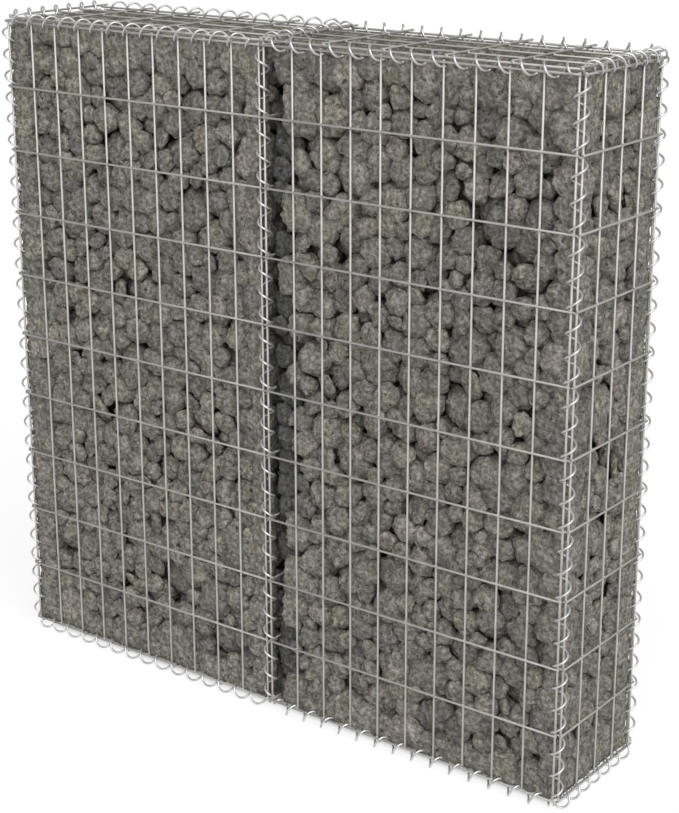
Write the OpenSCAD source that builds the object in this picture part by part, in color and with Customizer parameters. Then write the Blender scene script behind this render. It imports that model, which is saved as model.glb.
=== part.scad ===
// Gabion wall of two bays: welded mesh panels laced together along every edge
// by wire spirals, and filled with stone.
// X runs along the wall, Y through it and Z up. The wall stands on its lower
// spirals, with the origin on the ground below its middle.

/* [Mesh] */
// Spacing of the inner wires, which is the narrow side of a mesh cell
cell_w = 50; // [46:1:60]
// Diameter of the wires in the panels
wire_d = 3.2; // [2.6:0.1:3.4]
// Depth to which two crossing wires are welded into each other
weld_sink = 0.5; // [0.3:0.1:0.8]
// Length of an inner wire past the last wire that it crosses
inner_stub = 2.5; // [1.5:0.5:3]
// Length of an outer wire past the last wire that it crosses
outer_stub = 4; // [2:0.5:4]
// Length of a lid's outer wire past the last wire at the back of the wall
lid_stub = 12; // [4:1:14]

/* [Bays] */
// Long cells along one bay
bay_cells = 5; // [3:1:6]
// Long cells in the height of the wall
row_cells = 10; // [3:1:12]
// Narrow cells in the depth of the wall
depth_cells = 4; // [4:2:12]
// Gap between the edge wires of the two bays
seam_gap = 9; // [8.5:0.5:11]
// Distance of a panel's plane from the edge wires of the panel beside it
corner_setback = 5.5; // [5:0.25:6.5]

/* [Spirals] */
// Radius of a spiral to the middle of its wire
coil_r = 10; // [10:0.25:13]
// Diameter of the spiral wire
coil_wire_d = 3.2; // [2.6:0.1:3.4]
// Clearance between a spiral and the outer wires that it sits on
coil_seat = 0.4; // [0.3:0.1:0.8]

/* [Stone fill] */
// Gap between the stones and the wires around them
fill_gap = 0.3; // [0.2:0.1:1]
// Depth of the stones' top below the lid's wires
fill_drop = 3; // [1:0.5:6]
// Clearance of the stones around a spiral
coil_room = 0.6; // [0.3:0.1:3]
// Width of the recess that the right bay's stones leave beside the seam at the front
recess_w = 24; // [22:1:40]
// Depth of that recess into the wall
recess_d = 36; // [24:1:60]

/* [Hidden] */

galvanised = "silver";
stone_grey = "dimgray";

// Mesh: a long cell is two narrow ones, and the outer wires lie on the inner ones
cell_aspect = 2;
cell_h = cell_aspect * cell_w;
wire_sides = 4;
layer = wire_d - weld_sink;

// Spirals: three turns to a long cell, and a closer pitch across the wall
turns_per_cell = 3;
cross_turns_per_cell = 7 / 4;
coil_pitch = cell_h / turns_per_cell;
cross_pitch = cell_w / cross_turns_per_cell;
coil_reach = coil_r + coil_wire_d / 2;
coil_slope = atan(coil_pitch / (2 * PI * coil_r));
coil_steps = 8;
coil_sides = 4;

// Places of the panels, with the right bay on the +X side
bay_l = bay_cells * cell_h;
wall_h = row_cells * cell_h;
wall_d = depth_cells * cell_w;
seam_x = seam_gap / 2;
bay_x = seam_x + bay_l / 2;
end_x = seam_x + bay_l + corner_setback;
face_y = wall_d / 2 + corner_setback;
corner_x = end_x - corner_setback / 2;
corner_y = face_y - corner_setback / 2;
base_z = coil_reach + corner_setback;
total_h = wall_h + 2 * base_z;
lid_z = base_z + wall_h + corner_setback;

// Places of the spirals along their edges: a standing spiral hangs on the wires of the
// face panel, a long one sits beside those of the lid, and a cross one passes midway
// between the wires of the two panels that it laces
wire_seat = ((wire_d + coil_wire_d) / 2 + coil_seat) / cos(coil_slope);
stand_angle = 180 + asin((layer + corner_setback / 2) / coil_r);
long_angle = asin(layer / coil_r);
cross_angle = 180;
cross_seat = cross_pitch / 8;

// Turns of the spirals, each a turn shorter than its edge to stay clear of the corners
stand_turns = turns_per_cell * row_cells - 1;
long_turns = turns_per_cell * bay_cells - 1;
cross_turns = floor(cross_turns_per_cell * depth_cells) - 1;

// Stone fill, whose edges are cut off flat where the spirals run
fill_x = seam_x + wire_d / 2 + fill_gap;
fill_end_x = end_x - wire_d / 2 - fill_gap;
fill_y = face_y - wire_d / 2 - fill_gap;
fill_base_z = base_z - corner_setback + wire_d / 2 + fill_gap;
fill_top_z = lid_z - wire_d / 2 - fill_drop;
spiral_cut = sqrt(2) * (coil_reach + coil_room);
corner_cut = spiral_cut + fill_end_x - corner_x + fill_y - corner_y;
seam_cut = spiral_cut - fill_x + fill_y - corner_y;
base_cut = spiral_cut + fill_y - face_y - fill_base_z + total_h - lid_z;
middle_cut = spiral_cut - fill_x - fill_base_z + total_h - lid_z;
lid_cut = spiral_cut + fill_y - face_y - lid_z + fill_top_z;
middle_lid_cut = spiral_cut - fill_x - lid_z + fill_top_z;

// Mirror images of the right, front and upper pieces
module on_left() {
  mirror([1, 0, 0]) children();
}

module at_back() {
  mirror([0, 1, 0]) children();
}

module at_base() {
  translate([0, 0, total_h]) mirror([0, 0, 1]) children();
}

// Copies on the back that keep the hand of a spiral: a standing one is turned end for end
// and a long one about the upright line through the middle of the bay
module turned_over() {
  at_base() at_back() children();
}

module turned_round() {
  translate([2 * bay_x, 0, 0]) rotate([0, 0, 180]) children();
}

// One wire of a panel, along +Z
module wire(length) {
  cylinder(d = wire_d, h = length, $fn = wire_sides);
}

// A mesh panel in the XY plane: inner wires along Y, with outer wires along X on top,
// which stand out past the last inner wires by the two stubs
module mesh(inner_cells, outer_cells, first_stub = outer_stub, last_stub = outer_stub) {
  for (i = [0 : inner_cells])
    translate([i * cell_w, -inner_stub, 0])
      rotate([-90, 0, 0])
        wire(outer_cells * cell_h + 2 * inner_stub);
  for (j = [0 : outer_cells])
    translate([-first_stub, j * cell_h, layer])
      rotate([0, 90, 0])
        wire(first_stub + inner_cells * cell_w + last_stub);
}

module face_panel() {
  color(galvanised)
    translate([seam_x, -face_y, base_z])
      rotate([90, 0, 0])
        mesh(cell_aspect * bay_cells, row_cells);
}

module end_panel() {
  color(galvanised)
    translate([end_x, -wall_d / 2, base_z])
      rotate([90, 0, 90])
        mesh(depth_cells, row_cells);
}

module divider_panel() {
  color(galvanised)
    translate([0, -wall_d / 2, base_z])
      rotate([90, 0, 90])
        mesh(depth_cells, row_cells, inner_stub, inner_stub);
}

module lid_panel() {
  color(galvanised)
    translate([seam_x, wall_d / 2, lid_z])
      rotate([0, 0, -90])
        mesh(depth_cells, bay_cells, lid_stub, inner_stub);
}

// Corners of the spiral wire's section at one step of its sweep
function section(step, start_angle, pitch) =
  let (turn = start_angle + 360 * step / coil_steps, height = pitch * step / coil_steps)
  [
    for (corner = [0 : coil_sides - 1])
      let (
        around = 360 * corner / coil_sides,
        radius = coil_r + coil_wire_d / 2 * cos(around)
      )
      [radius * cos(turn), radius * sin(turn), height + coil_wire_d / 2 * sin(around)]
  ];

// Two triangles on each side of the wire between a step and the next
function skin(step) =
  [
    for (corner = [0 : coil_sides - 1])
      let (a = step * coil_sides + corner, b = step * coil_sides + (corner + 1) % coil_sides)
      each [[a, a + coil_sides, b], [b, a + coil_sides, b + coil_sides]]
  ];

// A right-handed spiral along +Z that starts half a turn past the angle of its seat
module spiral(turns, seat_angle, pitch = coil_pitch) {
  steps = coil_steps * turns;
  last = steps * coil_sides;
  points = [for (step = [0 : steps]) each section(step, seat_angle + 180, pitch)];
  sides = [for (step = [0 : steps - 1]) each skin(step)];
  first_cap = [for (i = [1 : coil_sides - 2]) [0, i, i + 1]];
  last_cap = [for (i = [1 : coil_sides - 2]) [last, last + i + 1, last + i]];
  polyhedron(points, concat(sides, first_cap, last_cap));
}

module corner_spiral() {
  color(galvanised)
    translate([corner_x, -corner_y, base_z + wire_seat + coil_pitch / 2])
      spiral(stand_turns, stand_angle);
}

module seam_spiral() {
  color(galvanised)
    translate([0, -corner_y, base_z + wire_seat + coil_pitch / 2])
      mirror([1, 0, 0])
        spiral(stand_turns, stand_angle);
}

module long_spiral() {
  color(galvanised)
    translate([seam_x + wire_seat + coil_pitch / 2, -face_y, lid_z])
      rotate([90, 0, 90])
        spiral(long_turns, long_angle);
}

// A spiral along Y on the lid's edge at the given place along the wall
module cross_spiral(x) {
  color(galvanised)
    translate([x, cross_seat + cross_pitch / 2 - wall_d / 2, lid_z])
      rotate([-90, 0, 0])
        spiral(cross_turns, cross_angle, cross_pitch);
}

// Outlines of a bay's stones from above, from the front and from the end, drawn for the
// right bay, with a cut of the given size beside the seam at the front
module fill_plan(cut_w, cut_d) {
  polygon([
    [fill_x + cut_w, -fill_y],
    [fill_end_x - corner_cut, -fill_y],
    [fill_end_x, corner_cut - fill_y],
    [fill_end_x, fill_y - corner_cut],
    [fill_end_x - corner_cut, fill_y],
    [fill_x + seam_cut, fill_y],
    [fill_x, fill_y - seam_cut],
    [fill_x, cut_d - fill_y]
  ]);
}

module fill_front() {
  polygon([
    [fill_x + middle_cut, fill_base_z],
    [fill_end_x - base_cut, fill_base_z],
    [fill_end_x, fill_base_z + base_cut],
    [fill_end_x, fill_top_z - lid_cut],
    [fill_end_x - lid_cut, fill_top_z],
    [fill_x + middle_lid_cut, fill_top_z],
    [fill_x, fill_top_z - middle_lid_cut],
    [fill_x, fill_base_z + middle_cut]
  ]);
}

module fill_end() {
  polygon([
    [base_cut - fill_y, fill_base_z],
    [fill_y - base_cut, fill_base_z],
    [fill_y, fill_base_z + base_cut],
    [fill_y, fill_top_z - lid_cut],
    [fill_y - lid_cut, fill_top_z],
    [lid_cut - fill_y, fill_top_z],
    [-fill_y, fill_top_z - lid_cut],
    [-fill_y, fill_base_z + base_cut]
  ]);
}

module stone_fill(cut_w = seam_cut, cut_d = seam_cut) {
  color(stone_grey)
    intersection() {
      linear_extrude(total_h) fill_plan(cut_w, cut_d);
      rotate([90, 0, 0]) linear_extrude(2 * face_y, center = true) fill_front();
      rotate([90, 0, 90]) linear_extrude(end_x) fill_end();
    }
}

on_left() face_panel();  // left_front_panel
face_panel();  // right_front_panel
on_left() at_back() face_panel();  // left_back_panel
at_back() face_panel();  // right_back_panel
on_left() end_panel();  // left_end_panel
end_panel();  // right_end_panel
divider_panel();  // middle_divider_panel
on_left() lid_panel();  // left_lid_panel
lid_panel();  // right_lid_panel
at_base() on_left() lid_panel();  // left_base_panel
at_base() lid_panel();  // right_base_panel
on_left() corner_spiral();  // left_front_corner_spiral
corner_spiral();  // right_front_corner_spiral
on_left() turned_over() corner_spiral();  // left_back_corner_spiral
turned_over() corner_spiral();  // right_back_corner_spiral
seam_spiral();  // middle_front_spiral
turned_over() seam_spiral();  // middle_back_spiral
on_left() long_spiral();  // left_front_lid_spiral
long_spiral();  // right_front_lid_spiral
on_left() turned_round() long_spiral();  // left_back_lid_spiral
turned_round() long_spiral();  // right_back_lid_spiral
on_left() cross_spiral(end_x);  // left_end_lid_spiral
cross_spiral(end_x);  // right_end_lid_spiral
cross_spiral(0);  // middle_lid_spiral
at_base() on_left() long_spiral();  // left_front_base_spiral
at_base() long_spiral();  // right_front_base_spiral
at_base() on_left() turned_round() long_spiral();  // left_back_base_spiral
at_base() turned_round() long_spiral();  // right_back_base_spiral
at_base() on_left() cross_spiral(end_x);  // left_end_base_spiral
at_base() cross_spiral(end_x);  // right_end_base_spiral
at_base() cross_spiral(0);  // middle_base_spiral
on_left() stone_fill();  // left_stone_fill
stone_fill(recess_w, recess_d);  // right_stone_fill
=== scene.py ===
"""A gabion wall of two bays: round galvanised mesh wires, lacing spirals and a fill of rough stones."""

import math

import bmesh
import bpy
import numpy as np
from mathutils import Matrix, Vector


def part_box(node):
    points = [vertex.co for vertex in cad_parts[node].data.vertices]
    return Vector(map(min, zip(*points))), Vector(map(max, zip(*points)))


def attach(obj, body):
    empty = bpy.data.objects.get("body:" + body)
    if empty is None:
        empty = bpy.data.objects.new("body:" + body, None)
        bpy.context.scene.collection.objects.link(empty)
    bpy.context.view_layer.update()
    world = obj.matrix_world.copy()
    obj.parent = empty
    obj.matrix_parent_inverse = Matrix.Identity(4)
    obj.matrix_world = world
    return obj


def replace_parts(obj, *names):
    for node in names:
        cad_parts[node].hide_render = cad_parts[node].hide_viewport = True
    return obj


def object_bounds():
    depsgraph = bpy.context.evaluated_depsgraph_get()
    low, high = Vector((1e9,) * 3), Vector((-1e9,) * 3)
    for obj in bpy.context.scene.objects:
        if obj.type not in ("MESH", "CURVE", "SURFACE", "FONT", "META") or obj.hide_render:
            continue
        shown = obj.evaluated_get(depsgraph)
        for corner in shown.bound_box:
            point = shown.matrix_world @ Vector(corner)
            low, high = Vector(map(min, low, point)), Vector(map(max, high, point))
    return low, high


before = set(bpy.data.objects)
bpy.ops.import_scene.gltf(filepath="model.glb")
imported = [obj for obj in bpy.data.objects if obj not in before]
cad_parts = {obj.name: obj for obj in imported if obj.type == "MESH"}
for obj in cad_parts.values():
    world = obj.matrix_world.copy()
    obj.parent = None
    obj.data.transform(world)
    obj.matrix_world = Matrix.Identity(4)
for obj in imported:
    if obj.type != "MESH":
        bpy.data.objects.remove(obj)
cad_low, cad_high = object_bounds()
wall_centre = np.array((cad_low + cad_high) / 2)

X, Y, Z = 0, 1, 2
AXES = np.eye(3)

# The bays, by the side of the wall's middle that each is on
BAYS = {"left": -1, "right": 1}

# Panel wires, in metres
WIRE_R = 0.0016
WIRE_SIDES = 10
CHAMFER_SHARE = 0.25
INNER_SPACING = 0.05
OUTER_SPACING = 0.1
WELD_R = 0.0024
WELD_THICKNESS = 0.0028
WELD_SIDES = 8
WELD_FLAT_SHARE = 0.7
WELD_END_SHARE = 0.55

# Spirals, in metres, with the turn of a tail in degrees
COIL_R = 0.0095
COIL_WIRE_R = 0.0016
COIL_STEPS = 18
COIL_SIDES = 7
TURNS_PER_CELL = 3
COIL_PITCH = OUTER_SPACING / TURNS_PER_CELL
DEPTH_CELLS = 4
CROSS_TURNS = 7
CROSS_PITCH = DEPTH_CELLS * INNER_SPACING / CROSS_TURNS
TAIL_TURN = 70
TAIL_R_SHARE = 0.72

# Where the spirals start and end, from the wall's middle, and how far they are moved off their CAD axis
STAND_REACH = (-0.492, 0.492)
LONG_STAND_REACH = (-0.499, 0.502)
LEFT_REACH = (-0.497, -0.014)
RIGHT_REACH = (0.014, 0.497)
CROSS_REACH = (-0.098, 0.098)
NO_SHIFT = (0, 0, 0)
LID_SAG = (0, 0, -0.0025)

# Stones, in metres
STONE_R = 0.0195
STONE_SEEDS = {"left": 11, "right": 23}
CHIP_R = 0.013
CHIP_SPACING = 0.015
CHIP_INSET = 0.0015
CAGE_INSET = 0.001

# Points on a stone's mesh, by where it lies, and the stones in one piece
SHOWN_POINTS = 190
BACK_POINTS = 100
CHIP_POINTS = 60
HIDDEN_POINTS = 20
STONES_PER_PIECE = 400

# Packing: the stones' share of the room, the spread of their sizes and how they push each other apart
PACKING_SHARE = 0.7
STONE_SPREAD_SHARE = 0.26
RELAX_STEPS = 80
PAIR_STEPS = 8
PAIR_SHARE = 1.3
PUSH_SHARE = 0.3
MOST_PUSH_SHARE = 0.5
WALL_SHARE = 0.86

# Shapes of the stones, as shares of a stone's radius
EDGE_SHARE = 1.45
EDGE_DOME_SHARE = 1.3
EDGE_DOME_W_SHARE = 1.36
EDGE_OVERLAP_SHARE = 0.12
DOME_W_SHARE = 1.22
DOME_DROP_SHARE = 0.04
SET_BACK_SHARE = 0.65
DOME_TILT_SHARE = 0.25
DOME_CROWDING_SHARE = 0.45
NEIGHBOUR_SHARE = 1.6
OVERLAP_SHARE = 0.43
OVERLAP_SPREAD_SHARE = 0.12
LEAST_ROOM_SHARE = 0.3
FLATS = 4
FLAT_SHARES = (0.9, 1.3)
ROUNDING = 6
SKIN_LAYERS_SHARES = ((1.2, 0.22), (0.5, 0.13), (0.22, 0.06))
CLIP_WAVE_SHARE = 0.7
CLIP_RELIEF_SHARE = 0.09

# Random waves that make up the lumps, the spread of their lengths and the lumps' usual height
LUMP_WAVES = 20
LUMP_LENGTH_SHARES = (0.7, 1.5)
LUMP_MIDDLE = 0.45

# The planes round a fill are its six sides, +X +Y +Z -X -Y -Z, and its front outer corner
CAGE_PLANES = 7

# The plane at the seam, by the side that the bay is on
SEAM_PLANES = {-1: 0, 1: 3}

# The back and the underside, where the stones have coarser meshes
BACK_PLANES = (1, 5)

# How far the stones stay clear of each bay's front outer corner, by the side that the bay is on
CORNER_CUTS = {-1: 0.0, 1: 0.012}

# The right bay's stones lie back from the seam at the front, which leaves a dark recess: real shade, plus a
# painted shade, a dark bluish tone, on the stones in it
RECESS_WIDTH = 0.023
RECESS_WIDTH_SHARES = (0.7, 1.1)
RECESS_DEPTH = 0.016
RECESS_REACH = 0.05
RECESS_DOME_SHARE = 0.35
RECESS_SHADE_TONE = 0.0
LOWEST_TONE = 0.12


# Meshes from arrays

def unit(vectors):
    """The vectors, one a row, at length 1."""
    return vectors / np.linalg.norm(vectors, axis=1)[:, None]


def box_of(node):
    """The low and high corners of a CAD node's box."""
    low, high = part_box(node)
    return np.array(low), np.array(high)


class MeshParts:
    """Collects the vertices, faces and point tones of many small shapes for one mesh."""

    def __init__(self):
        self.points = []
        self.faces = []
        self.tones = []
        self.count = 0

    def add(self, points, faces, tone=0.0):
        self.points.append(points)
        self.faces.extend([[i + self.count for i in face] for face in faces])
        self.tones.append(np.full(len(points), tone, np.float32))
        self.count += len(points)

    def make(self, name, material, slot):
        mesh = bpy.data.meshes.new(name)
        mesh.from_pydata(np.concatenate(self.points).tolist(), [], self.faces)
        tones = mesh.attributes.new("tone", "FLOAT", "POINT")
        tones.data.foreach_set("value", np.concatenate(self.tones))
        mesh.shade_smooth()
        mesh.materials.append(material)
        piece = bpy.data.objects.new(name, mesh)
        bpy.context.scene.collection.objects.link(piece)
        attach(piece, "root")
        return piece


def tube_faces(rings, sides):
    """Quads along a tube, and a fan of triangles on each end's middle point."""
    faces = []
    for ring in range(rings - 1):
        for side in range(sides):
            a = ring * sides + side
            b = ring * sides + (side + 1) % sides
            faces.append([a, b, b + sides, a + sides])
    first, last = rings * sides, rings * sides + 1
    top = (rings - 1) * sides
    for side in range(sides):
        following = (side + 1) % sides
        faces.append([first, following, side])
        faces.append([last, top + side, top + following])
    return faces


def tube_points(path, radii, sides):
    """Rings of points round a path, then the middles of its two ends."""
    tangents = unit(np.gradient(path, axis=0))
    normal = np.cross(tangents[0], AXES[int(np.argmin(np.abs(tangents[0])))])
    angles = np.linspace(0, 2 * math.pi, sides, endpoint=False)
    rings = []
    for point, tangent, radius in zip(path, tangents, radii):
        normal = normal - tangent * np.dot(normal, tangent)
        normal /= np.linalg.norm(normal)
        side = np.cross(tangent, normal)
        ring = np.outer(np.cos(angles), normal) + np.outer(np.sin(angles), side)
        rings.append(point + radius * ring)
    return np.concatenate(rings + [path[:1], path[-1:]])


# Panels

def straight_wire(parts, start, end, tone):
    """A round wire with lightly chamfered cut ends."""
    direction = (end - start) / np.linalg.norm(end - start)
    chamfer = direction * WIRE_R * CHAMFER_SHARE
    path = np.array([start, start + chamfer, end - chamfer, end])
    end_share = 1 - CHAMFER_SHARE
    radii = np.array([end_share, 1, 1, end_share]) * WIRE_R
    parts.add(tube_points(path, radii, WIRE_SIDES), tube_faces(len(path), WIRE_SIDES), tone)


def weld(parts, point, normal):
    """The squeezed metal round the weld where two wires cross."""
    steps = np.array([-1, -WELD_FLAT_SHARE, WELD_FLAT_SHARE, 1]) * WELD_THICKNESS / 2
    path = point + np.outer(steps, normal)
    radii = np.array([WELD_END_SHARE, 1, 1, WELD_END_SHARE]) * WELD_R
    parts.add(tube_points(path, radii, WELD_SIDES), tube_faces(len(path), WELD_SIDES))


def panel(node, inner_axis, outer_axis, side, material):
    """A welded mesh in place of a CAD panel: inner wires, with outer wires on their outward side that carry
    a painted shade.
    """
    low, high = box_of(node)
    middle = (low + high) / 2
    middle[Y] = wall_centre[Y]
    normal_axis = X + Y + Z - inner_axis - outer_axis
    inner_level = high[normal_axis] - WIRE_R if side < 0 else low[normal_axis] + WIRE_R
    outer_level = low[normal_axis] + WIRE_R if side < 0 else high[normal_axis] - WIRE_R
    inner_cells = int((high - low)[outer_axis] / INNER_SPACING)
    outer_cells = int((high - low)[inner_axis] / OUTER_SPACING)
    inner_places = middle[outer_axis] + (np.arange(inner_cells + 1) - inner_cells / 2) * INNER_SPACING
    outer_places = middle[inner_axis] + (np.arange(outer_cells + 1) - outer_cells / 2) * OUTER_SPACING
    parts = MeshParts()
    for run, across, places, level in (
        (inner_axis, outer_axis, inner_places, inner_level),
        (outer_axis, inner_axis, outer_places, outer_level),
    ):
        for place in places:
            start, end = low.copy(), high.copy()
            for point in (start, end):
                point[across] = place
                point[normal_axis] = level
            # Outer wires get tone 1, which the wire material turns into a painted shade
            straight_wire(parts, start, end, float(run == outer_axis))
    for inner_place in inner_places:
        for outer_place in outer_places:
            crossing = np.zeros(3)
            crossing[outer_axis] = inner_place
            crossing[inner_axis] = outer_place
            crossing[normal_axis] = (inner_level + outer_level) / 2
            weld(parts, crossing, AXES[normal_axis])
    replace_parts(parts.make(node + "_wires", material, "mesh_wire"), node)


# Spirals

def spiral(node, axis, hand, start, reach, pitch, material, shift=NO_SHIFT):
    """A lacing spiral in place of a CAD one, which stands at the start angle at the wall's middle."""
    low, high = box_of(node)
    middle = (low + high) / 2 + np.array(shift)
    first_side, second_side = AXES[(axis + 1) % 3], AXES[(axis + 2) % 3]
    places = np.linspace(*reach, int((reach[1] - reach[0]) / pitch * COIL_STEPS))
    angles = math.radians(start) + hand * 2 * math.pi * places / pitch
    from_end = np.minimum(np.abs(angles - angles[0]), np.abs(angles - angles[-1]))
    tail = np.clip(from_end / math.radians(TAIL_TURN), 0, 1)
    radii = COIL_R * (TAIL_R_SHARE + (1 - TAIL_R_SHARE) * tail ** 0.5)
    circle = np.outer(np.cos(angles), first_side) + np.outer(np.sin(angles), second_side)
    path = middle + radii[:, None] * circle
    path[:, axis] = wall_centre[axis] + places
    wire_radii = np.full(len(path), COIL_WIRE_R)
    parts = MeshParts()
    parts.add(tube_points(path, wire_radii, COIL_SIDES), tube_faces(len(path), COIL_SIDES))
    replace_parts(parts.make(node + "_wire", material, "spiral_wire"), node)


# Stones

def unit_sphere(count):
    """Directions spread evenly over a sphere, and the triangles between them."""
    step = np.arange(count) + 0.5
    height = 1 - 2 * step / count
    turn = math.pi * (1 + math.sqrt(5)) * step
    ring = np.sqrt(1 - height ** 2)
    directions = np.stack([ring * np.cos(turn), ring * np.sin(turn), height], axis=1)
    hull = bmesh.new()
    for index, direction in enumerate(directions):
        hull.verts.new(direction).index = index
    bmesh.ops.convex_hull(hull, input=hull.verts)
    hull.normal_update()
    triangles = []
    for face in hull.faces:
        corners = [vertex.index for vertex in face.verts]
        outward = face.normal.dot(face.calc_center_median()) > 0
        triangles.append(corners if outward else corners[::-1])
    hull.free()
    return directions, triangles


def lumps(points, rng, wavelength):
    """A smooth random height at each point, mostly within 1 of zero, with bumps of the given size."""
    directions = unit(rng.normal(size=(LUMP_WAVES, 3)))
    lengths = wavelength * rng.uniform(*LUMP_LENGTH_SHARES, LUMP_WAVES)
    phases = rng.uniform(0, 2 * math.pi, LUMP_WAVES)
    waves = directions * 2 * math.pi / lengths[:, None]
    return np.cos(points @ waves.T + phases).sum(1) / math.sqrt(2 * LUMP_WAVES)


def cage_of(low, high, outer_side):
    """Directions and offsets of the planes round a bay's fill: its six sides and its front outer corner."""
    corner_normal = (outer_side * AXES[X] - AXES[Y]) / math.sqrt(2)
    corner = np.array([high[X] if outer_side > 0 else low[X], low[Y], 0])
    corner_offset = corner @ corner_normal - CORNER_CUTS[outer_side] / math.sqrt(2)
    return np.concatenate([AXES, -AXES, [corner_normal]]), np.concatenate([high, -low, [corner_offset]])


def near_pairs(centres, radii):
    """The pairs of stones close enough to touch within the next few steps."""
    squares = (centres ** 2).sum(1)
    squared_distance = squares[:, None] + squares[None] - 2 * centres @ centres.T
    reach = PAIR_SHARE * (radii[:, None] + radii[None])
    return np.nonzero(np.triu(squared_distance < reach ** 2, 1))


def packed_centres(low, high, rng):
    """Centres and radii of stones that are pushed apart until they fill the box."""
    count = int(PACKING_SHARE * np.prod(high - low) / (4 / 3 * math.pi * STONE_R ** 3))
    radii = STONE_R * np.exp(rng.normal(0, STONE_SPREAD_SHARE, count))
    centres = rng.uniform(low, high, (count, 3))
    wall = WALL_SHARE * radii[:, None]
    for step in range(RELAX_STEPS):
        if step % PAIR_STEPS == 0:
            first, second = near_pairs(centres, radii)
            room = radii[first] + radii[second]
        apart = centres[first] - centres[second]
        push = np.clip(room / np.linalg.norm(apart, axis=1) - 1, 0, MOST_PUSH_SHARE)
        move = PUSH_SHARE * apart * push[:, None]
        np.add.at(centres, first, move)
        np.add.at(centres, second, -move)
        centres = np.clip(centres, low + wall, high - wall)
    return centres, radii


def chip_centres(low, high, rng):
    """Centres of small stones along the cage's edges."""
    rows = []
    for axis in (X, Y, Z):
        along = np.arange(low[axis] + CHIP_R, high[axis] - CHIP_R, CHIP_SPACING)
        for first_side in (low, high):
            for second_side in (low, high):
                row = np.empty((len(along), 3))
                row[:, axis] = along
                row[:, (axis + 1) % 3] = first_side[(axis + 1) % 3]
                row[:, (axis + 2) % 3] = second_side[(axis + 2) % 3]
                rows.append(row)
    centres = np.concatenate(rows)
    centres = centres + rng.uniform(-CHIP_INSET, CHIP_INSET, centres.shape)
    return np.clip(centres, low + CHIP_R, high - CHIP_R)


def stone_planes(index, centres, radii, cage_normals, cage_heights, rng):
    """Directions and distances of the planes round a stone: the cage, its neighbours and its own flats."""
    centre, radius = centres[index], radii[index]
    apart = centres - centre
    distance = np.linalg.norm(apart, axis=1)
    near = (distance > 0) & (distance < NEIGHBOUR_SHARE * (radius + radii))
    normals = apart[near] / distance[near][:, None]
    heights = distance[near] * radius / (radius + radii[near])
    heights = heights + radius * rng.normal(OVERLAP_SHARE, OVERLAP_SPREAD_SHARE, len(heights))
    if (cage_heights < EDGE_SHARE * radius).sum() > 1:
        heights = heights + EDGE_OVERLAP_SHARE * radius
    flats = unit(rng.normal(size=(FLATS, 3)))
    flat_heights = radius * rng.uniform(*FLAT_SHARES, FLATS)
    inset_heights = cage_heights - rng.uniform(0, CAGE_INSET)
    return (np.concatenate([cage_normals, normals, flats]),
            np.concatenate([inset_heights, heights, flat_heights]))


def dome_of(cage_normals, cage_heights, radius, rng):
    """Direction, height and width of a stone's dome, towards the side, edge or corner beside it."""
    sides = cage_heights < EDGE_SHARE * radius
    if not sides.any():
        sides[np.argmin(cage_heights)] = True
    axis = cage_normals[sides].sum(0) + DOME_TILT_SHARE * rng.normal(size=3)
    height = np.linalg.norm(cage_heights[sides])
    if sides.sum() == 1:
        drop = DOME_DROP_SHARE + SET_BACK_SHARE * rng.uniform() ** 2
        height = min(height, EDGE_SHARE * radius) - drop * radius
        width = DOME_W_SHARE * radius
    else:
        height *= EDGE_DOME_SHARE
        width = EDGE_DOME_W_SHARE * radius
    return axis / np.linalg.norm(axis), height, width


def stone_points(directions, centre, radius, dome, normals, heights, rng):
    """A dome along its axis, inside the planes and with a rough knobbly skin."""
    axis, dome_h, dome_w = dome
    along = directions @ axis
    bulge = ((along / dome_h) ** 2 + (1 - along ** 2) / dome_w ** 2) ** 0.5
    facing = np.clip(directions @ normals.T, 0, None)
    nearness = (facing / heights)[:, CAGE_PLANES:]
    reach = ((nearness ** ROUNDING).sum(1) + bulge ** ROUNDING) ** (-1 / ROUNDING)
    points = directions * reach[:, None]
    for wavelength_share, height_share in SKIN_LAYERS_SHARES:
        knobs = np.abs(lumps(points, rng, wavelength_share * radius)) - LUMP_MIDDLE
        reach = reach + radius * height_share * knobs
    limit = 1 / (facing[:, :CAGE_PLANES] / heights[:CAGE_PLANES]).max(1)
    relief = np.abs(lumps(directions * limit[:, None], rng, CLIP_WAVE_SHARE * radius))
    reach = np.minimum(reach, limit - CLIP_RELIEF_SHARE * radius * relief)
    return centre + directions * reach[:, None]


def add_chips(parts, low, high, outer_side, rng):
    """Small stones along the cage's edges, which close the gaps between the larger ones."""
    cage_normals, cage_offsets = cage_of(low, high, outer_side)
    directions, triangles = unit_sphere(CHIP_POINTS)
    for centre in chip_centres(low, high, rng):
        from_seam, from_front = centre[X] - low[X], centre[Y] - low[Y]
        if outer_side > 0 and from_seam < RECESS_WIDTH and from_front < RECESS_REACH:
            continue
        to_planes = cage_offsets - cage_normals @ centre
        inset = rng.uniform(CAGE_INSET, CAGE_INSET + CHIP_INSET)
        dome = dome_of(cage_normals, to_planes, CHIP_R, rng)
        chip = stone_points(directions, centre, CHIP_R, dome, cage_normals, to_planes - inset, rng)
        parts.add(chip, triangles, rng.uniform(LOWEST_TONE, 1))


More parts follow.
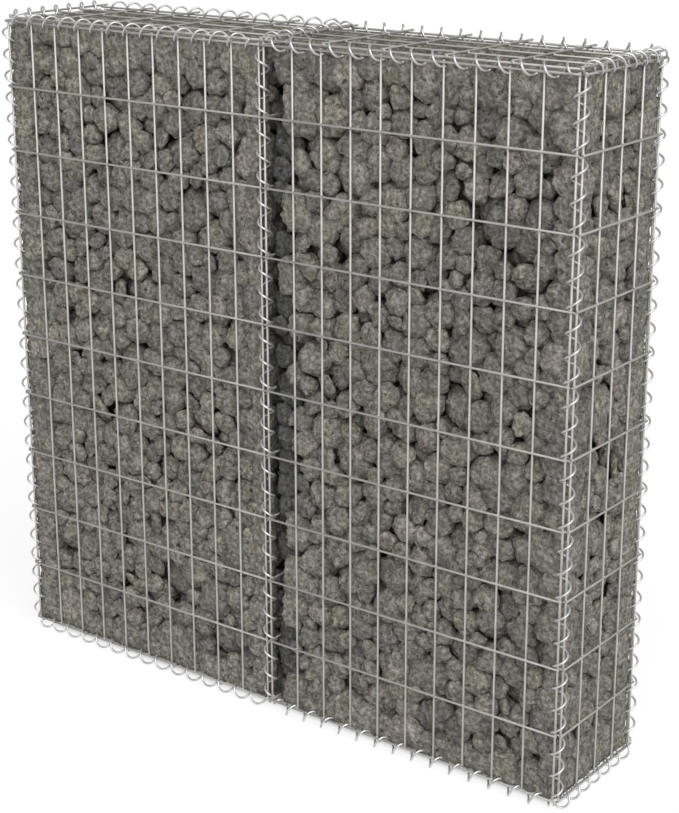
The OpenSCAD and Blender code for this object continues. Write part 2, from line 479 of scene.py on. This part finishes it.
def stone_fill(node, seed, outer_side, material):
    """Stones in place of a CAD fill, with finer meshes the more they can be seen from outside."""
    rng = np.random.default_rng(seed)
    low, high = box_of(node)
    centres, radii = packed_centres(low, high, rng)
    cage_normals, cage_offsets = cage_of(low, high, outer_side)
    shown, back, hidden = (unit_sphere(count) for count in (SHOWN_POINTS, BACK_POINTS, HIDDEN_POINTS))
    shown_parts, hidden_parts = [MeshParts()], MeshParts()
    for index, (centre, radius) in enumerate(zip(centres, radii)):
        to_planes = np.maximum(cage_offsets - cage_normals @ centre, LEAST_ROOM_SHARE * radius)
        normals, heights = stone_planes(index, centres, radii, cage_normals, to_planes, rng)
        dome = dome_of(cage_normals, to_planes, radius, rng)
        to_planes[SEAM_PLANES[outer_side]] = np.inf
        nearest = int(np.argmin(to_planes))
        tone = rng.uniform(LOWEST_TONE, 1)
        from_seam, from_front = centre[X] - low[X], centre[Y] - low[Y]
        if outer_side > 0 and from_front < RECESS_REACH:
            if from_seam < RECESS_WIDTH:
                # Painted shade: the recess stones take the darkest, bluish tone
                tone = RECESS_SHADE_TONE
                recess_h = max(from_front - RECESS_DEPTH, RECESS_DOME_SHARE * radius)
                dome = (-AXES[Y], recess_h, DOME_W_SHARE * radius)
            else:
                room = from_seam - RECESS_WIDTH * rng.uniform(*RECESS_WIDTH_SHARES)
                normals = np.concatenate([normals, -AXES[:1]])
                heights = np.append(heights, max(room, RECESS_DOME_SHARE * radius))
        if to_planes[nearest] < EDGE_SHARE * radius:
            directions, triangles = back if nearest in BACK_PLANES else shown
            directions = unit(directions + DOME_CROWDING_SHARE * dome[0])
            if len(shown_parts[-1].points) == STONES_PER_PIECE:
                shown_parts.append(MeshParts())
            parts = shown_parts[-1]
        else:
            directions, triangles = hidden
            parts = hidden_parts
        points = stone_points(directions, centre, radius, dome, normals, heights, rng)
        parts.add(points, triangles, tone)
    add_chips(hidden_parts, low, high, outer_side, rng)
    for number, parts in enumerate(shown_parts, 1):
        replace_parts(parts.make(f"{node}_stones_{number}", material, "stone"), node)
    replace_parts(hidden_parts.make(f"{node}_inner_stones", material, "stone"), node)


# Shader nodes

WARM_BLUE_SHARE = 1.9


def grey(value, warmth=0.0):
    """A grey that turns towards yellow brown with its warmth."""
    return (value * (1 + warmth), value, value * (1 - WARM_BLUE_SHARE * warmth))


def new_material(name):
    material = bpy.data.materials.new(name)
    material.use_nodes = True
    nodes, links = material.node_tree.nodes, material.node_tree.links
    return material, nodes, links, nodes["Principled BSDF"]


def place_node(nodes):
    return nodes.new("ShaderNodeTexCoord").outputs["Object"]


def tone_node(nodes):
    tone = nodes.new("ShaderNodeAttribute")
    tone.attribute_name = "tone"
    return tone.outputs["Fac"]


def noise_node(nodes, links, coordinates, scale, detail=4, roughness=0.55):
    noise = nodes.new("ShaderNodeTexNoise")
    noise.inputs["Scale"].default_value = scale
    noise.inputs["Detail"].default_value = detail
    noise.inputs["Roughness"].default_value = roughness
    links.new(coordinates, noise.inputs["Vector"])
    return noise.outputs["Fac"]


def ramp_node(nodes, links, value, stops):
    ramp = nodes.new("ShaderNodeValToRGB")
    elements = ramp.color_ramp.elements
    for element, (place, colour) in zip(elements, (stops[0], stops[-1])):
        element.position = place
        element.color = (*colour, 1)
    for place, colour in stops[1:-1]:
        elements.new(place).color = (*colour, 1)
    links.new(value, ramp.inputs["Fac"])
    return ramp.outputs["Color"]


def grey_ramp_node(nodes, links, value, stops):
    """A ramp whose stops are each a place, a brightness and a warmth."""
    return ramp_node(nodes, links, value, [(place, grey(level, warmth)) for place, level, warmth in stops])


def multiply_node(nodes, links, first, second):
    mix = nodes.new("ShaderNodeMix")
    mix.data_type = "RGBA"
    mix.blend_type = "MULTIPLY"
    mix.inputs["Factor"].default_value = 1
    links.new(first, mix.inputs["A"])
    links.new(second, mix.inputs["B"])
    return mix.outputs["Result"]


def bump_node(nodes, links, height, strength, distance, below=None):
    bump = nodes.new("ShaderNodeBump")
    bump.inputs["Strength"].default_value = strength
    bump.inputs["Distance"].default_value = distance
    links.new(height, bump.inputs["Height"])
    if below:
        links.new(below, bump.inputs["Normal"])
    return bump.outputs["Normal"]


def range_node(nodes, links, value, to_min, to_max, from_max=1.0):
    span = nodes.new("ShaderNodeMapRange")
    span.inputs["From Max"].default_value = from_max
    span.inputs["To Min"].default_value = to_min
    span.inputs["To Max"].default_value = to_max
    links.new(value, span.inputs["Value"])
    return span.outputs["Result"]


def math_node(nodes, links, operation, *values):
    """One operation on sockets and plain numbers."""
    node = nodes.new("ShaderNodeMath")
    node.operation = operation
    for socket, value in zip(node.inputs, values):
        if isinstance(value, float):
            socket.default_value = value
        else:
            links.new(value, socket)
    return node.outputs["Value"]


# Zinc coated wire: noise scales, shares of its grey, and how its roughness and grain vary

ZINC_CLOUDS = 45
ZINC_GRAIN = 900
ZINC_GRAIN_DETAIL = 2
ZINC_CLOUD_SHARES = ((0.3, 0.9), (0.7, 1.08))
# Painted shade: the outer wires, tone 1, are drawn darker than the inner ones
OUTER_WIRE_SHADE_STOPS = ((0.0, 1, 0), (1.0, 0.75, 0))
ZINC_SMOOTHER, ZINC_ROUGHER = 0.08, 0.12
ZINC_BUMP = (0.15, 0.0003)


def galvanised_material(name, level, warmth, roughness, metallic):
    """Zinc coated wire: cloudy grey metal with a fine grain, and a painted shade that darkens the outer
    panel wires.
    """
    material, nodes, links, shader = new_material(name)
    place = place_node(nodes)
    clouds = noise_node(nodes, links, place, ZINC_CLOUDS)
    grain = noise_node(nodes, links, place, ZINC_GRAIN, ZINC_GRAIN_DETAIL)
    stops = [(value, level * share, warmth) for value, share in ZINC_CLOUD_SHARES]
    colour = grey_ramp_node(nodes, links, clouds, stops)
    outer_wire_shade = grey_ramp_node(nodes, links, tone_node(nodes), OUTER_WIRE_SHADE_STOPS)
    links.new(multiply_node(nodes, links, colour, outer_wire_shade), shader.inputs["Base Color"])
    shader.inputs["Metallic"].default_value = metallic
    dullness = range_node(nodes, links, clouds, roughness - ZINC_SMOOTHER, roughness + ZINC_ROUGHER)
    links.new(dullness, shader.inputs["Roughness"])
    links.new(bump_node(nodes, links, grain, *ZINC_BUMP), shader.inputs["Normal"])
    return material


# Rough stone: noises by scale, detail and roughness, and colour stops by place, brightness and warmth

MOTTLING = (38, 5, 0.55)
SPECKLE = (150, 4, 0.65)
GRAIN = (480, 2, 0.55)
# Painted shade: low values of this noise make dark spots, the shade inside small holes
HOLE_SHADE_NOISE = (120, 2, 0.55)
PATCHES = (24, 2, 0.55)
PIT_SCALE = 150
BODY_STOPS = ((0.28, 0.12, 0.055), (0.5, 0.153, 0.065), (0.72, 0.194, 0.07))
# The first tone stop is a painted shade for the recess stones; the others are each stone's own random tone
TONE_STOPS = ((RECESS_SHADE_TONE, 0.45, -0.05), (LOWEST_TONE, 0.84, -0.02), (0.56, 1.02, 0), (1.0, 1.16, 0.01))
FLECK_STOPS = ((0.34, 0.46, 0.08), (0.5, 0.96, 0), (0.66, 1.68, -0.01))
GRAIN_STOPS = ((0.36, 0.85, 0), (0.5, 1.0, 0), (0.66, 1.2, 0))
# Painted shade in small holes: where that noise is low the stone is drawn much darker
HOLE_SHADE_STOPS = ((0.29, 0.32, 0.05), (0.36, 1.0, 0))
GREEN_TINT, NO_TINT, VIOLET_TINT = (0.97, 1.005, 0.955), (1.0, 1.0, 1.0), (1.0, 0.985, 1.025)
TINT_STOPS = ((0.36, GREEN_TINT), (0.5, NO_TINT), (0.64, VIOLET_TINT))
PIT_BUMP = (0.5, 0.003)
SPECKLE_BUMP = (0.8, 0.006)
STONE_ROUGHNESS = 0.92
STONE_SPECULAR = 0.25


def stone_material():
    """Rough grey-brown rock with its own tone on each stone, mottling, speckle, pits and faint tints, with
    painted shade in small dark holes and on the recess stones.
    """
    material, nodes, links, shader = new_material("rough_stone")
    place = place_node(nodes)
    mottling, speckle, grain, hole_shade, patches = (
        noise_node(nodes, links, place, *noise) for noise in (MOTTLING, SPECKLE, GRAIN, HOLE_SHADE_NOISE, PATCHES))
    pits = nodes.new("ShaderNodeTexVoronoi")
    pits.inputs["Scale"].default_value = PIT_SCALE
    links.new(place, pits.inputs["Vector"])
    colour = grey_ramp_node(nodes, links, mottling, BODY_STOPS)
    for value, stops in (
        (tone_node(nodes), TONE_STOPS),
        (speckle, FLECK_STOPS),
        (grain, GRAIN_STOPS),
        (hole_shade, HOLE_SHADE_STOPS),
    ):
        colour = multiply_node(nodes, links, colour, grey_ramp_node(nodes, links, value, stops))
    colour = multiply_node(nodes, links, colour, ramp_node(nodes, links, patches, TINT_STOPS))
    links.new(colour, shader.inputs["Base Color"])
    shader.inputs["Roughness"].default_value = STONE_ROUGHNESS
    shader.inputs["Specular IOR Level"].default_value = STONE_SPECULAR
    normal = bump_node(nodes, links, pits.outputs["Distance"], *PIT_BUMP)
    normal = bump_node(nodes, links, speckle, *SPECKLE_BUMP, normal)
    links.new(normal, shader.inputs["Normal"])
    return material


# Object

mesh_zinc = galvanised_material(
    "galvanised_mesh_wire", level=0.51, warmth=0.028, roughness=0.56, metallic=0.7)
spiral_zinc = galvanised_material(
    "galvanised_spiral_wire", level=0.5, warmth=0.0, roughness=0.34, metallic=0.7)
stone = stone_material()

for bay, outward in BAYS.items():
    panel(f"{bay}_front_panel", Z, X, -1, mesh_zinc)
    panel(f"{bay}_back_panel", Z, X, 1, mesh_zinc)
    panel(f"{bay}_end_panel", Z, Y, outward, mesh_zinc)
    panel(f"{bay}_lid_panel", X, Y, 1, mesh_zinc)
    panel(f"{bay}_base_panel", X, Y, -1, mesh_zinc)
panel("middle_divider_panel", Z, Y, 1, mesh_zinc)

# Each spiral's hand and its angle at the wall's middle, from the photograph for those that it shows
standing = {
    "left_front_corner_spiral": (-1, 35, STAND_REACH),
    "right_front_corner_spiral": (1, 165, STAND_REACH),
    "left_back_corner_spiral": (-1, 135, STAND_REACH),
    "right_back_corner_spiral": (1, 45, LONG_STAND_REACH),
    "middle_front_spiral": (-1, 40, STAND_REACH),
    "middle_back_spiral": (-1, 220, STAND_REACH),
}
for node, (hand, start, reach) in standing.items():
    spiral(node, Z, hand, start, reach, COIL_PITCH, spiral_zinc)
long_edges = {
    "left_front_lid_spiral": (-1, 348, LEFT_REACH, LID_SAG),
    "right_front_lid_spiral": (1, 235, RIGHT_REACH, LID_SAG),
    "left_back_lid_spiral": (-1, 31, LEFT_REACH, NO_SHIFT),
    "right_back_lid_spiral": (1, 192, RIGHT_REACH, NO_SHIFT),
    "left_front_base_spiral": (1, 140, LEFT_REACH, NO_SHIFT),
    "right_front_base_spiral": (-1, 262, RIGHT_REACH, NO_SHIFT),
    "left_back_base_spiral": (1, 60, LEFT_REACH, NO_SHIFT),
    "right_back_base_spiral": (-1, 80, RIGHT_REACH, NO_SHIFT),
}
for node, (hand, start, reach, shift) in long_edges.items():
    spiral(node, X, hand, start, reach, COIL_PITCH, spiral_zinc, shift)
cross_edges = {
    "left_end_lid_spiral": (-1, 20),
    "right_end_lid_spiral": (1, 320),
    "middle_lid_spiral": (1, 316),
    "left_end_base_spiral": (1, 60),
    "right_end_base_spiral": (-1, 96),
    "middle_base_spiral": (-1, 225),
}
for node, (hand, start) in cross_edges.items():
    spiral(node, Y, hand, start, CROSS_REACH, CROSS_PITCH, spiral_zinc)

for bay, outward in BAYS.items():
    stone_fill(f"{bay}_stone_fill", STONE_SEEDS[bay], outward, stone)


# Camera, in the photograph's frame of 679 by 813 pixels

IMAGE_W, IMAGE_H = 679, 813
FOCAL_PIXELS = 1796.4
LENS_CENTRE_X, LENS_CENTRE_Y = 361.0, 377.7
SENSOR = 36
FAR_CLIP = 100
EYE = Vector((1.60286, -2.03286, 1.3111))
FORWARD = Vector((-0.56917, 0.76719, -0.29573))
UP = Vector((-0.17785, 0.23629, 0.95527))

camera_data = bpy.data.cameras.new("camera")
camera_data.sensor_fit = "VERTICAL"
camera_data.sensor_height = SENSOR
camera_data.lens = FOCAL_PIXELS / IMAGE_H * SENSOR
camera_data.shift_x = (IMAGE_W / 2 - LENS_CENTRE_X) / IMAGE_H
camera_data.shift_y = (LENS_CENTRE_Y - IMAGE_H / 2) / IMAGE_H
camera_data.clip_end = FAR_CLIP
camera = bpy.data.objects.new("camera", camera_data)
right = FORWARD.cross(UP).normalized()
up = right.cross(FORWARD).normalized()
turn = Matrix((right, up, -FORWARD.normalized())).transposed()
camera.matrix_world = Matrix.Translation(EYE) @ turn.to_4x4()
bpy.context.scene.collection.objects.link(camera)
bpy.context.scene.camera = camera


# Floor, backdrop and light

FLOOR_HALF = 30
FLOOR_COLOUR = (0.97, 0.97, 0.97, 1)
FLOOR_WHITE_SHARE = 0.85
FOOTPRINT = (0.47, 0.07)
SHADOW_FADE = 0.025
WORLD_LIGHT = 0.7
SKY_STOPS = ((0.1, 1, 0), (0.5, 0.5, 0), (1.0, 0.2, 0))
SUN_PLACE = (2.6, -2.1, 3.4)
SUN_SPREAD = 55
SUN_STRENGTH = 3.65


def seen_directly(nodes, links):
    """1 on rays that show the background: those of the camera, of reflections and through clear things."""
    rays = nodes.new("ShaderNodeLightPath").outputs
    seen = math_node(nodes, links, "MAXIMUM", rays["Is Camera Ray"], rays["Is Glossy Ray"])
    return math_node(nodes, links, "MAXIMUM", seen, rays["Is Transmission Ray"])


def outside_footprint(nodes, links):
    """How far a point of the floor lies outside the ground that the wall covers."""
    place = nodes.new("ShaderNodeSeparateXYZ")
    links.new(place_node(nodes), place.inputs["Vector"])
    distances = []
    for axis, half in zip("XY", FOOTPRINT):
        from_middle = math_node(nodes, links, "ABSOLUTE", place.outputs[axis])
        distances.append(math_node(nodes, links, "SUBTRACT", from_middle, half))
    return math_node(nodes, links, "MAXIMUM", *distances)


def pale_floor():
    """A floor that shows nearly white, apart from its true shadow under the wall."""
    corners = [(-1, -1), (1, -1), (1, 1), (-1, 1)]
    floor_mesh = bpy.data.meshes.new("floor")
    floor_mesh.from_pydata([(FLOOR_HALF * x, FLOOR_HALF * y, 0) for x, y in corners], [], [(0, 1, 2, 3)])
    floor = bpy.data.objects.new("floor", floor_mesh)
    bpy.context.scene.collection.objects.link(floor)
    material, nodes, links, shader = new_material("pale_floor")
    shader.inputs["Base Color"].default_value = FLOOR_COLOUR
    shader.inputs["Roughness"].default_value = 1
    shader.inputs["Specular IOR Level"].default_value = 0
    clear = range_node(nodes, links, outside_footprint(nodes, links), 0, FLOOR_WHITE_SHARE, SHADOW_FADE)
    whiten = math_node(nodes, links, "MULTIPLY", clear, seen_directly(nodes, links))
    white = nodes.new("ShaderNodeEmission")
    blend = nodes.new("ShaderNodeMixShader")
    links.new(whiten, blend.inputs["Fac"])
    links.new(shader.outputs["BSDF"], blend.inputs[1])
    links.new(white.outputs["Emission"], blend.inputs[2])
    links.new(blend.outputs["Shader"], nodes["Material Output"].inputs["Surface"])
    floor_mesh.materials.append(material)


def studio_world():
    """Soft light all round, brightest near the ground, and a white backdrop."""
    world = bpy.data.worlds.new("studio")
    bpy.context.scene.world = world
    world.use_nodes = True
    nodes, links = world.node_tree.nodes, world.node_tree.links
    background = nodes["Background"]
    strength = range_node(nodes, links, seen_directly(nodes, links), WORLD_LIGHT, 1)
    links.new(strength, background.inputs["Strength"])
    direction = nodes.new("ShaderNodeSeparateXYZ")
    links.new(nodes.new("ShaderNodeTexCoord").outputs["Generated"], direction.inputs["Vector"])
    sky = grey_ramp_node(nodes, links, direction.outputs["Z"], SKY_STOPS)
    links.new(sky, background.inputs["Color"])


def broad_sun(place, spread, strength):
    """A soft lamp that shines from its place towards the wall's foot."""
    data = bpy.data.lights.new("key", "SUN")
    data.angle = math.radians(spread)
    data.energy = strength
    lamp = bpy.data.objects.new("key", data)
    lamp.location = place
    lamp.rotation_euler = (-Vector(place)).to_track_quat("-Z", "Y").to_euler()
    bpy.context.scene.collection.objects.link(lamp)


pale_floor()
studio_world()
broad_sun(SUN_PLACE, SUN_SPREAD, SUN_STRENGTH)

bpy.context.scene.view_settings.view_transform = "Standard"
